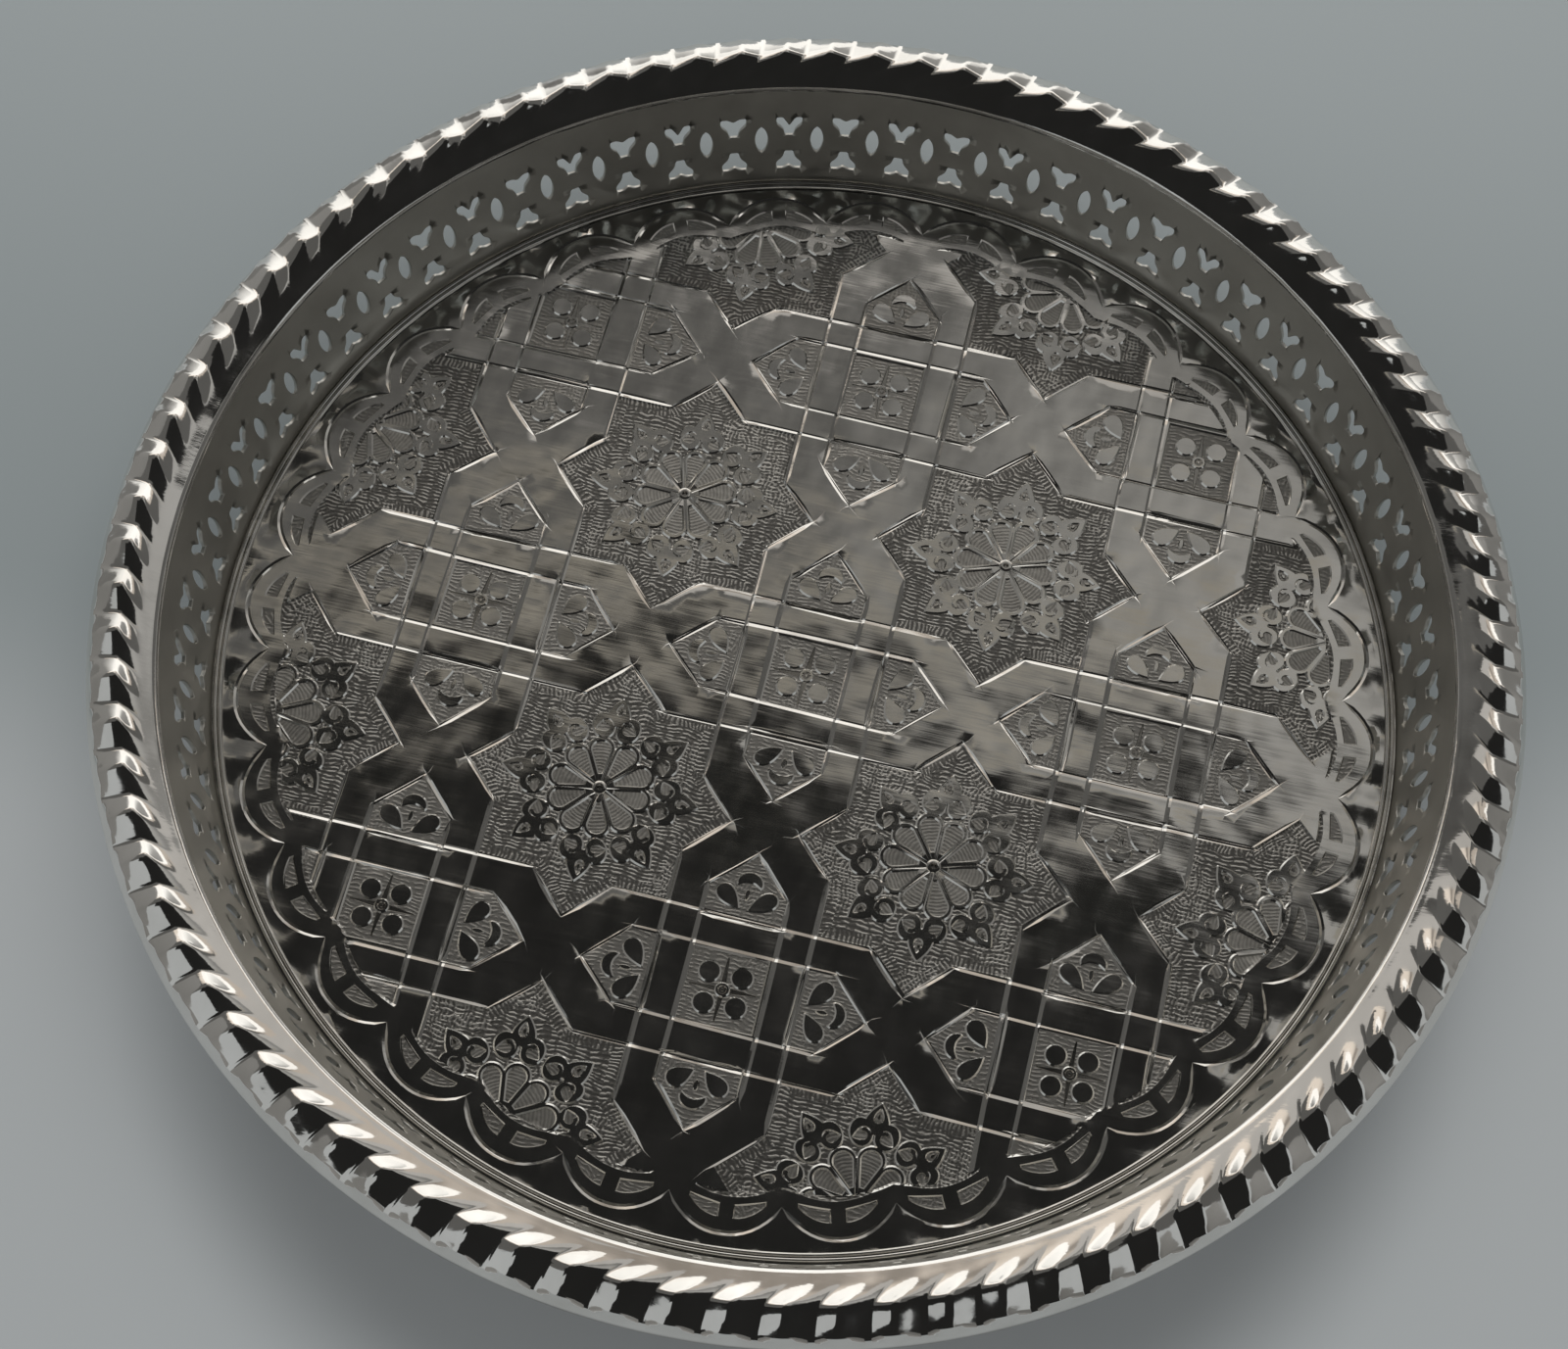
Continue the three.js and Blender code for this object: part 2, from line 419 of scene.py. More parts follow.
def add_star(relief, centre):
    place, angle, scale = hand(centre, 0.3, 0.02, 0.015)
    put = lambda loop, turn=0.0: turned(loop, angle + turn, place, scale)
    star = put(resampled(star_loop(), SIDE_STEP))
    relief.sink(star, GROUND, STAR_EDGE, MATTED)
    relief.comb(star, COMB_REACH)
    for k in range(CLUSTERS):
        turn = 2 * math.pi * k / CLUSTERS + jitter(0.03)
        leaf = turned(drop(*about(LEAF, 0.4, 0.3), 24), 0.0, about(LEAF_AT, 0.3, 0.3))
        relief.sink(put(leaf, turn), *RAISED)
        for side in (-1, 1):
            spot = np.multiply(about(LOBE_AT, 0.3, 0.2), (1, side))
            lobe = turned(ellipse(*about(LOBE, 0.3, 0.3), 24), LOBE_TURN * side, spot)
            relief.sink(put(lobe, turn), *RAISED)
        vein = turned(drop(*about(VEIN, 0.3, 0.2), 16), 0.0, about(VEIN_AT, 0.3, 0.2))
        relief.sink(put(vein, turn), *CHASED)
        relief.sink(put(drop(*VEIN_CUT, 10) + VEIN_AT, turn), MOTIF, CUT_EDGE, POLISHED)
        for side in (-1, 1):
            spot = np.multiply(about(CURL_AT, 0.2, 0.15), (1, side))
            aim = (CURL_AIM + jitter(0.2)) * side
            curl = turned(drop(*about(CURL, 0.3, 0.2), 20), aim, spot)
            relief.sink(put(curl, turn), *CHASED)
            relief.sink(put(turned(curl_line(side), aim, spot), turn), MOTIF, CUT_EDGE, POLISHED)
    first = jitter(0.3)
    reaches = [PETAL_REACH + jitter(0.6) for _ in range(PETALS)]
    turns = [first + 2 * math.pi * k / PETALS + jitter(0.02) for k in range(PETALS)]
    half = math.pi / PETALS
    for reach, turn in zip(reaches, turns):
        loop = petal_loop(half + PETAL_LAP, PETAL_ROOTS[0], reach + PETAL_PAST[0], 16)
        relief.sink(put(loop, turn), MOTIF, PETAL_EDGES[0], POLISHED)
    for reach, turn in zip(reaches, turns):
        loop = inset(petal_loop(half, PETAL_ROOTS[1], reach + PETAL_PAST[1], 18), PETAL_GAP)
        relief.sink(put(loop, turn), GROUND, PETAL_EDGES[1], SATIN, POLISHED)
    relief.dome(put(ellipse(EYE, EYE, 20)), MOTIF - 0.1, 0.3, 0.7, POLISHED)
    relief.sink(put(ellipse(EYE_HOLE, EYE_HOLE, 12)), RECESS, 0.3, SUNKEN)


def add_house(relief, centre, turn):
    """A five-sided panel beside the square at the centre."""
    place, angle, scale = hand(centre, 0.25, 0.015, 0.01)
    put = lambda loop: turned(loop, angle + turn, place, scale)
    house = np.array([[-HOUSE_HALF, HOUSE_BASE], [HOUSE_HALF, HOUSE_BASE], [HOUSE_HALF, HOUSE_EAVE],
                      [0.0, HOUSE_TIP], [-HOUSE_HALF, HOUSE_EAVE]])
    relief.sink(put(resampled(house, SIDE_STEP)), *FLAT)
    shift = np.array(about((0.0, 0.0), 0.5, 0.4))
    for side in (-1, 1):
        aim = math.atan2(DROP_AIM[1], DROP_AIM[0] * side)
        lobe = turned(drop(*about(DROP, 0.4, 0.3), 22), aim, (DROP_AT[0] * side, DROP_AT[1]))
        relief.sink(put(lobe + shift), *RAISED)
    t = np.linspace(CRESCENT_TIP, math.pi - CRESCENT_TIP, 14)
    share = (t - CRESCENT_TIP) / (math.pi - 2 * CRESCENT_TIP)
    thick = CRESCENT_THICK * np.sin(share * math.pi) ** 0.6 + 0.05
    out, back = polar(CRESCENT_RADIUS + thick, t), polar(CRESCENT_RADIUS - thick, t)[::-1]
    crescent = np.concatenate([out, back[1:-1]]) + [0.0, CRESCENT_LEVEL]
    relief.sink(put(crescent + shift), *RAISED)
    relief.sink(put(ellipse(*SEED, 12) + [0, SEED_LEVEL] + shift), MOTIF, 0.25, POLISHED)


def add_square(relief, centre):
    place, angle, scale = hand(centre, 0.25, 0.02, 0.015)
    put = lambda loop: turned(loop, angle, place, scale)
    square = SQUARE_HALF * np.array([[-1, -1], [1, -1], [1, 1], [-1, 1]])
    relief.sink(put(resampled(square, SIDE_STEP)), *FLAT)
    for k in range(4):
        relief.sink(put(turned(WEDGE, k * math.pi / 2 + jitter(0.05))), RECESS, 0.12, SUNKEN)
        at = turned(about((ROUND_AT, ROUND_AT), 0.2, 0.2), k * math.pi / 2)
        relief.sink(put(ellipse(ROUND, ROUND, 22) + at), *RAISED)
    for width, count, level, edge, slot in BOSS:
        relief.sink(put(ellipse(width, width, count)), level, edge, slot)


def add_lines(relief, centre):
    """Chased lines along the straps, each drawn by hand a little past its corner."""
    strokes = []
    for k in range(4):
        turn = k * math.pi / 2
        strokes.append(([[HOUSE_HALF, -HOUSE_EAVE], [HOUSE_HALF, HOUSE_EAVE]], turn))
        strokes.append(([[LINE_FAR, -NOTCH_FAR], [LINE_FAR, NOTCH_FAR]], turn))
        for side in (-1, 1):
            strokes.append(([[HOUSE_HALF * side, HOUSE_EAVE], [0.0, HOUSE_TIP]], turn))
            tip = PITCH / 2 - STAR_HALF * math.sqrt(2)
            strokes.append(([[LINE_FAR * side, NOTCH_FAR], [tip * side, PITCH / 2]], turn))
            strokes.append(([[-HOUSE_HALF, HOUSE_BASE], [HOUSE_HALF, HOUSE_BASE]], turn))
    for ends, turn in strokes:
        a, b = turned(ends, turn, centre)
        unit = (b - a) / np.linalg.norm(b - a)
        side = np.array([-unit[1], unit[0]])
        a = a - unit * (LINE_PAST + jitter(0.9)) + side * jitter(0.5)
        b = b + unit * (LINE_PAST + jitter(0.9)) + side * jitter(0.5)
        count = max(3, int(np.linalg.norm(b - a) / LINE_STEP))
        bow = jitter(0.25)
        t = np.linspace(0, 1, count)[:, None]
        stroke = a + (b - a) * t + side * bow * 4 * t * (1 - t)
        lean = TOOL_LEAN * side.dot(LEAN_TOWARDS) + jitter(0.1)
        relief.groove(stroke, LINE_HALF + jitter(0.08), LINE_DEPTH + jitter(0.04), lean)


def field_relief():
    relief = Relief(lambda points: past_field(points) < SEAM_KEEP)
    cells = [(i * PITCH, j * PITCH) for i in range(-2, 3) for j in range(-2, 3)]
    near = lambda x, y, size: math.hypot(x, y) < FIELD_EDGE + FIELD_BULGE + size
    for x, y in cells:
        centre = (x + PITCH / 2, y + PITCH / 2)
        if near(*centre, STAR_REACH):
            add_star(relief, centre)
        if near(x, y, SQUARE_REACH):
            add_square(relief, (x, y))
        if near(x, y, HOUSE_REACH):
            for k in range(4):
                add_house(relief, (x, y), k * math.pi / 2)
    for x, y in cells:
        if near(x, y, HOUSE_REACH):
            add_lines(relief, (x, y))
    return relief


def border_relief():
    relief = Relief(lambda points: past_field(points) > -SEAM_KEEP)
    for k in range(SCALLOPS):
        middle = (k + 0.5) * SCALLOP_ANGLE + jitter(0.006)
        grow = 1 + jitter(0.05)
        t = np.linspace(0, 1, 8)
        along = (BLOCK_REACH[0] + BLOCK_REACH[1] * t) * grow / BLOCK_RADIUS
        for side in (-1, 1):
            outer = polar(BLOCK_OUTER[0] - BLOCK_OUTER[1] * t * t, middle + side * along)
            inner = polar(BLOCK_INNER[0] - BLOCK_INNER[1] * t, middle + side * along)
            block = np.concatenate([inner, outer[::-1]])
            relief.sink(block[::-1] if side > 0 else block, GROUND, SATIN_EDGE, PANEL, POLISHED)
        t = np.linspace(-1, 1, 13)
        outer, inner = [polar(radius - STRIP_BOW * t * t, middle + t * STRIP_REACH) for radius in STRIP_RADII]
        relief.sink(np.concatenate([outer, inner[::-1]]), STRIP_LEVEL, STRIP_EDGE, MATTED)
        s = np.linspace(-0.99, 0.99, 17)
        turn = (k + 0.5 + s / 2) * SCALLOP_ANGLE
        relief.groove(polar(arch_radius(s) + jitter(0.3), turn), ARCH_HALF, LINE_DEPTH, taper=1.2)
    return relief


def waves(points, seed, count, shortest, longest, height):
    """Slow unevenness of hand-worked sheet, as a sum of waves in all directions."""
    draw = random.Random(seed)
    z = np.zeros(len(points))
    for _ in range(count):
        length = draw.uniform(shortest, longest)
        turn = draw.uniform(0, 2 * math.pi)
        phase = draw.uniform(0, 2 * math.pi)
        along = points @ np.array([math.cos(turn), math.sin(turn)])
        z += length / longest * np.sin(2 * math.pi * along / length + phase)
    return z * height / math.sqrt(count)


def swells(points):
    """Soft dents between the scallops and the foot of the gallery."""
    r, s = scallop_place(points)
    depth = smooth((r - arch_radius(s)) / 2.0) * smooth((SWELL_EDGE - r) / 1.6)
    turn = np.arctan2(points[:, 1], points[:, 0])
    lobes = 0.5 + 0.5 * np.cos(2 * SCALLOPS * turn + 1.5 * np.sin(5 * turn) + math.pi)
    return SWELL_DEPTH * depth * lobes * (0.75 + 0.25 * np.sin(11 * turn + 1.0))


def floor_shape(points, field, border):
    z_in, slots_in = field.shape(points)
    z_out, slots_out = border.shape(points)
    share = np.clip((SEAM - past_field(points)) / (2 * SEAM), 0, 1)
    z = z_in * share + (z_out + swells(points)) * (1 - share)
    calm = smooth((CALM_EDGE - np.hypot(points[:, 0], points[:, 1])) / CALM_REACH)
    z += calm * sum(waves(points, *kind) for kind in UNEVEN)
    return z, np.where(share > 0.5, slots_in, slots_out)


def placed(name, data):
    obj = bpy.data.objects.new(name, data)
    bpy.context.scene.collection.objects.link(obj)
    return obj


def weld(mesh):
    """Joins points that lie on each other, and turns all faces outwards."""
    work = bmesh.new()
    work.from_mesh(mesh)
    bmesh.ops.remove_doubles(work, verts=work.verts, dist=WELD * MM)
    bmesh.ops.recalc_face_normals(work, faces=work.faces)
    work.to_mesh(mesh)
    work.free()


def make_mesh(name, verts, faces, sharp, slots=None, welded=False):
    """A smooth mesh from millimetres, with sharp edges where it turns by more than some degrees."""
    mesh = bpy.data.meshes.new(name)
    mesh.from_pydata([tuple(v) for v in np.asarray(verts) * MM], [], faces)
    mesh.update()
    mesh.validate()
    if slots is not None:
        mesh.polygons.foreach_set("material_index", np.asarray(slots, np.int32))
    if welded:
        weld(mesh)
    mesh.shade_smooth()
    mesh.set_sharp_from_angle(angle=math.radians(sharp))
    return placed(name, mesh)


def band(high, low):
    """Faces between two closed rings of points."""
    after = [*range(1, len(high)), 0]
    return [(high[k], low[k], low[j], high[j]) for k, j in enumerate(after)]


def tube(rings, count):
    """Faces of a closed tube over rings of so many points each."""
    lines = [range(k * count, (k + 1) * count) for k in range(rings)]
    return [face for k in range(rings) for face in band(lines[k], lines[(k + 1) % rings])]


def finder(points):
    """A tree that finds the nearest of flat points."""
    tree = kdtree.KDTree(len(points))
    for k, (x, y) in enumerate(points):
        tree.insert((x, y, 0.0), k)
    tree.balance()
    return tree


def triangulated(points, edges):
    """Flat triangles over points and along edges, all turned up, and their doubled areas."""
    flat, _, faces, _, _, _ = delaunay_2d_cdt([Vector(p) for p in points], edges, [], 0, 1e-4, False)
    flat = np.array([tuple(v) for v in flat])
    tris = np.array([f for f in faces if len(f) == 3])
    a, b, c = flat[tris[:, 0]], flat[tris[:, 1]], flat[tris[:, 2]]
    area = (b[:, 0] - a[:, 0]) * (c[:, 1] - a[:, 1]) - (b[:, 1] - a[:, 1]) * (c[:, 0] - a[:, 0])
    return flat, np.where((area < 0)[:, None], tris[:, ::-1], tris), np.abs(area)


# Floor: points round its circles, spacing of the points between outlines, and rings of edge and underside
AROUND = 360
GRID = 2.6
GRID_ROW = GRID * 0.866
GRID_CLEAR = 0.9
SLIVER = 1e-7
SWELL_RINGS = (124.9, 126.2, 127.3, SWELL_EDGE)
UNDER_RINGS = ((PLATE_RADIUS, 0.25), (PLATE_RADIUS - 0.25, 0.0), (PLATE_RADIUS - 8, 0.0), (90.0, 0.0),
               (45.0, 0.0))


def make_floor():
    field, border = field_relief(), border_relief()
    points, edges = [], []
    for relief in (field, border):
        kept = relief.keep(np.array(relief.points))
        index = {}
        for k, point in enumerate(relief.points):
            if kept[k]:
                index[k] = len(points)
                points.append(point)
        edges.extend((index[a], index[b]) for a, b in relief.edges)

    def circle(radius, turns):
        edges.extend(ring(len(points), len(turns)))
        points.extend(map(tuple, polar(radius, turns)))

    turns = np.arange(2 * AROUND) * math.pi / AROUND
    seam = field_edge(scallop_place(polar(100.0, turns))[1])
    for radius in (seam - SEAM, seam + SEAM):
        circle(radius, turns)
    for radius in (*SWELL_RINGS, PLATE_RADIUS):
        circle(radius, turns[::2])
    tree = finder(points)
    rows = int(PLATE_RADIUS / GRID_ROW) + 1
    for j in range(-rows, rows + 1):
        for i in range(-rows, rows + 1):
            x, y = (i + 0.5 * (j % 2)) * GRID, j * GRID_ROW
            if math.hypot(x, y) < PLATE_RADIUS - 1 and tree.find((x, y, 0.0))[2] > GRID_CLEAR:
                points.append((x, y))
    flat, tris, area = triangulated(points, edges)
    tris = tris[area > SLIVER]
    middles = flat[tris].mean(1)
    z, _ = floor_shape(flat, field, border)
    _, slots = floor_shape(middles, field, border)
    verts = np.column_stack([flat, z + FLOOR_TOP]).tolist()
    faces = tris.tolist()
    edge = np.flatnonzero(np.hypot(flat[:, 0], flat[:, 1]) > PLATE_RADIUS - 1e-3)
    turn = np.arctan2(flat[edge, 1], flat[edge, 0])
    last = edge[np.argsort(turn)].tolist()
    for radius, level in UNDER_RINGS:
        base = len(verts)
        verts.extend((radius * math.cos(t), radius * math.sin(t), level) for t in np.sort(turn))
        faces.extend(band(last, range(base, len(verts))))
        last = range(base, len(verts))
    verts.append((0.0, 0.0, 0.0))
    faces.extend((b, a, len(verts) - 1) for a, b in ring(last[0], len(last)))
    slots = [*slots, *[UNDER] * (len(faces) - len(slots))]
    obj = make_mesh("chased_floor", verts, faces, 13.0, slots)
    combed = np.zeros(len(obj.data.polygons), np.float32)
    combed[:len(tris)] = field.stroke_turns(middles)
    obj.data.attributes.new(STROKE_TURN, "FLOAT", "FACE").data.foreach_set("value", combed)
    return obj


# Gallery: the pierced wall leans out from the foot to the bend; places of holes are shares of a bay
BAYS = 64
BAY_ANGLE = 2 * math.pi / BAYS
WALL_FLARE = 7.0
WALL_HEIGHT = 27.9
WALL_SLOPE = math.hypot(WALL_FLARE, WALL_HEIGHT)
LEAN = math.atan2(WALL_FLARE, WALL_HEIGHT)
SHEET = 1.0
HOLE_BEVEL = 0.16
WALL_FOOT = 0.35
WALL_TOP = 26.5
ALMOND = (3.0, 7.6)
ALMOND_AT = (0.25, 0.45)
TREFOIL_WIDE = 6.0
TREFOIL_TALL = 5.3
TREFOIL_ACROSS = 0.75
TREFOIL_SIDE = ((0.34, -1.0, 0.4), (0.46, -0.3, 1.3), (1.0, 0.3, 0.6), (1.0, 1.0, 0.5), (0.5, 1.0, 0.5))
NOTCH_ROUND = 0.5
CORNER_SHARE = 0.48
DEEP_NOTCH = 2.5
SHALLOW_NOTCH = 0.9
TREFOIL_LEVELS = (0.585, 0.235)
BAY_CLEAR = 0.6


def almond_loop():
    wide, tall = ALMOND
    t = np.linspace(-1, 1, 15)
    right = np.stack([wide / 2 * (1 - t * t) ** 0.66, tall / 2 * t], 1)
    left = right[::-1][1:-1] * [-1, 1]
    return np.concatenate([right, left])


def rounded(corners, radii, count):
    """A loop through corners that are each rounded by their own radius."""
    corners = np.asarray(corners, float)
    points = []
    for k, radius in enumerate(radii):
        at = corners[k]
        sides = [corners[k - 1] - at, corners[(k + 1) % len(corners)] - at]
        sizes = [np.linalg.norm(side) for side in sides]
        reach = min(radius, CORNER_SHARE * min(sizes))
        start, end = [at + side / size * reach for side, size in zip(sides, sizes)]
        for t in np.linspace(0, 1, count):
            points.append((1 - t) ** 2 * start + 2 * t * (1 - t) * at + t * t * end)
    return np.array(points)


def trefoil_loop(notch):
    """A cut like a thick V that points down, with a notch of some depth in its top."""
    w, h = TREFOIL_WIDE / 2, TREFOIL_TALL / 2
    right = [[x * w, y * h] for x, y, _ in TREFOIL_SIDE]
    left = [[-x, y] for x, y in right][::-1]
    radii = [radius for _, _, radius in TREFOIL_SIDE]
    return rounded(right + [[0.0, h - notch]] + left, radii + [NOTCH_ROUND] + radii[::-1], 4)


def on_wall(turn, up, across):
    """A point on the wall, so far up its slope and so far out through the sheet."""
    r = FOOT_RADIUS + up * math.sin(LEAN) + across * math.cos(LEAN)
    z = FLOOR_TOP + up * math.cos(LEAN) - across * math.sin(LEAN)
    return np.column_stack([polar(r, turn), z])


def bay_sheet(holes, width, levels, across):
    """One bay of the wall laid flat: its points, and its faces outside the holes."""
    points, edges = [], []
    sides = [[(u, v) for v in levels] for u in (0.0, width)]
    ends = [[(u, v) for u in across] for v in (levels[0], levels[-1])]
    for line in sides + ends:
        edges.extend(ring(len(points), len(line))[:-1])
        points.extend(line)
    for hole in holes:
        edges.extend(ring(len(points), len(hole)))
        points.extend(map(tuple, inset(hole, -HOLE_BEVEL)))
    tree = finder(points)
    for u in across[1:-1]:
        for v in levels[1:-1]:
            free = all(loop_distance(np.array([[u, v]]), hole)[0] < -HOLE_BEVEL for hole in holes)
            if free and tree.find((u, v, 0.0))[2] > BAY_CLEAR:
                points.append((u, v))
    flat, tris, _ = triangulated(points, edges)
    middles = flat[tris].mean(1)
    outside = np.all([loop_distance(middles, hole) < -HOLE_BEVEL / 2 for hole in holes], axis=0)
    return flat, tris[outside].tolist()


def make_gallery():
    width = BAY_ANGLE * (FOOT_RADIUS + WALL_FLARE / 2)
    low, high = WALL_FOOT / math.cos(LEAN), WALL_TOP / math.cos(LEAN)
    levels = np.linspace(low, high, 15)
    across = np.linspace(0, width, 9)
    almond = almond_loop() + np.multiply(ALMOND_AT, (width, WALL_SLOPE))
    upper, lower = [[TREFOIL_ACROSS * width, level * WALL_SLOPE] for level in TREFOIL_LEVELS]
    bays = []
    for notch in (DEEP_NOTCH, SHALLOW_NOTCH):
        holes = [almond, trefoil_loop(notch) + upper, -trefoil_loop(SHALLOW_NOTCH) + lower]
        bays.append((holes, *bay_sheet(holes, width, levels, across)))
    verts, faces = [], []

    def layer(start, flat, depth):
        """Adds flat points of a bay at some depth in the sheet, and gives their places."""
        base = len(verts)
        verts.extend(map(tuple, on_wall(start + flat[:, 0] / width * BAY_ANGLE, flat[:, 1], depth)))
        return range(base, len(verts))

    for bay in range(BAYS):
        holes, flat, kept = bays[bay % 2]
        start = -math.pi / 2 + bay * BAY_ANGLE
        front, back = layer(start, flat, 0.0), layer(start, flat, SHEET)
        faces.extend(tuple(front[k] for k in f[::-1]) for f in kept)
        faces.extend(tuple(back[k] for k in f) for f in kept)
        for hole in holes:
            wide = inset(hole, -HOLE_BEVEL)
            steps = ((wide, 0.0), (hole, HOLE_BEVEL), (hole, SHEET - HOLE_BEVEL), (wide, SHEET))
            rings = [layer(start, loop, depth) for loop, depth in steps]
            for near, far in zip(rings, rings[1:]):
                faces.extend(band(far, near))
        for level in (low, high):
            edge = np.stack([across, np.full(len(across), level)], 1)
            near, far = layer(start, edge, 0.0), layer(start, edge, SHEET)
            faces.extend(band(far, near)[:-1])
    return make_mesh("pierced_gallery", verts, faces, 32.0, welded=True)


def revolve(name, section, columns, sharp):
    """A closed ring from a closed section of (radius, level)."""
    turns = np.arange(columns) * 2 * math.pi / columns
    verts = [(r * math.cos(t), r * math.sin(t), z) for t in turns for r, z in section]
    return make_mesh(name, verts, tube(columns, len(section)), sharp)


# Bead: its place beside the wall and over the floor, its ridges' width and height, and the foot under them
BEAD_CLEAR = (0.25, 0.04)
BEAD_RIDGE = (1.0, 0.9)
BEAD_FOOT = 0.2

# Wire inside the lip
WIRE_AT = (146.8, 27.6)
WIRE_HALF = 1.1
WIRE_SIDES = 14


def make_bead():
    """Two fine ridges side by side in the corner at the foot of the gallery."""
    outer, base = FOOT_RADIUS - BEAD_CLEAR[0], FLOOR_TOP + BEAD_CLEAR[1]
    width, height = BEAD_RIDGE
    section = [(outer, base)]
    for ridge in range(2):
        middle = outer - width * (ridge + 0.5)
        section += [(middle + width / 2 * math.cos(a), base + BEAD_FOOT + (height - BEAD_FOOT) * math.sin(a))
                    for a in np.linspace(0.0, math.pi, 9)[ridge:]]
    section += [(outer - 2 * width, base)]
    return revolve("foot_bead_ring", section[::-1], 480, 35.0)


def make_wire():
    turns = -np.arange(WIRE_SIDES) * 2 * math.pi / WIRE_SIDES
    section = polar(WIRE_HALF, turns) + WIRE_AT
    return revolve("lip_wire", section, 320, 60.0)


# Rim: a plain cove, then slanting lobes with rounded edges, then a plain lip folded in below
LOBES = 88
LOBE_CREST = 0.44
CREST_ROUND = 0.09
CREASE_ROUND = 0.07
ROUND_STEPS = 7
RIM_SHEET = 1.1
BEND = [(136.12, 27.5), (136.17, 28.3), (136.35, 28.85), (136.65, 29.15), (137.2, 29.38), (138.1, 29.65)]
RIDGE = [(138.1, 29.65), (139.0, 29.95), (140.0, 30.35), (141.2, 30.95), (142.4, 31.65), (143.3, 32.15),
         (144.2, 32.35), (145.4, 32.15), (146.8, 31.6), (148.2, 30.9), (149.7, 29.95)]
CREASE = [(138.1, 29.65), (139.0, 29.95), (139.9, 30.2), (141.0, 30.45), (142.0, 30.65), (143.0, 30.8),
          (144.1, 30.75), (145.3, 30.45), (146.6, 30.05), (147.9, 29.6), (149.3, 29.05)]
LIP = [(150.05, 28.8), (150.65, 28.0), (151.1, 27.2), (151.35, 26.4), (151.3, 25.8), (151.0, 25.3),
       (150.4, 25.1)]
FOLD = [(146.9, 25.1), (146.6, 25.45), (146.7, 26.0), (149.0, 26.1), (149.4, 26.6)]
ARCH_RADIUS = 145.0
COVE_BACK = [(137.7, 28.15), (137.1, 27.75)]
RIM_ROWS = 32
SLANT_INSIDE = 6.0
SLANT_OUTSIDE = 0.9


def curve(points, count):
    """A smooth line through control points, with even steps along it."""
    points = np.asarray(points, float)
    padded = np.concatenate([[2 * points[0] - points[1]], points, [2 * points[-1] - points[-2]]])
    fine = []
    for a, b, c, d in zip(padded, padded[1:], padded[2:], padded[3:]):
        for t in np.linspace(0, 1, 12, endpoint=False):
            fine.append(0.5 * (2 * b + (c - a) * t + (2 * a - 5 * b + 4 * c - d) * t ** 2
                               + (3 * b - a - 3 * c + d) * t ** 3))
    fine = np.array(fine + [points[-1]])
    length = lengths(fine)
    at = np.linspace(0, length[-1], count)
    return np.stack([np.interp(at, length, fine[:, k]) for k in range(2)], 1)


def lobe_wave():
    """Places across one lobe, and how far each lies from the crest towards the crease."""
    fall, rise = -1 / LOBE_CREST, 1 / (1 - LOBE_CREST)
    step = np.linspace(-1, 1, ROUND_STEPS)
    off, bend = step * CREASE_ROUND, (step + 1) ** 2 / 4
    crease = list(zip(off % 1.0, 1 + rise * off + (fall - rise) * CREASE_ROUND * bend))
    off = step * CREST_ROUND
    crest = list(zip(LOBE_CREST + off, fall * off + (rise - fall) * CREST_ROUND * bend))
    halfway = [(LOBE_CREST / 2, 0.5), ((1 + LOBE_CREST) / 2, 0.5)]
    return np.array(sorted(crease + crest + halfway))


def make_rim():
    """Each row holds the place over a ridge, the place in a crease and the slant so far."""
    ridge, crease = curve(RIDGE, RIM_ROWS), curve(CREASE, RIM_ROWS)
    share = np.linspace(0, 1, RIM_ROWS)
    slant = SLANT_INSIDE * np.clip(2 * share, 0, 1) + SLANT_OUTSIDE * np.clip(2 * share - 1, 0, 1)
    rows = [(p, p, 0.0) for p in curve(BEND, 8)[:-1]]
    rows.extend(zip(ridge, crease, slant))
    rows.extend((p, p, slant[-1]) for p in np.concatenate([curve(LIP, 9), FOLD]))
    inward = np.array([0.0, RIM_SHEET])
    for k in range(RIM_ROWS - 4, 2, -2):
        rows.append((ridge[k] - inward, crease[k] - inward, slant[k]))
    rows.extend((p, p, 0.0) for p in np.array(COVE_BACK))
    wave = lobe_wave()
    place = (np.arange(LOBES)[:, None] + wave[:, 0]).ravel()
    side = np.tile(wave[:, 1], LOBES)[:, None]
    verts = []
    for high, low, slip in rows:
        section = high * (1 - side) + low * side
        turn = 2 * math.pi * place / LOBES - slip / ARCH_RADIUS
        verts.append(np.column_stack([polar(section[:, 0], turn), section[:, 1]]))
    return make_mesh("gadrooned_rim", np.concatenate(verts), tube(len(rows), len(place)), 24.0)


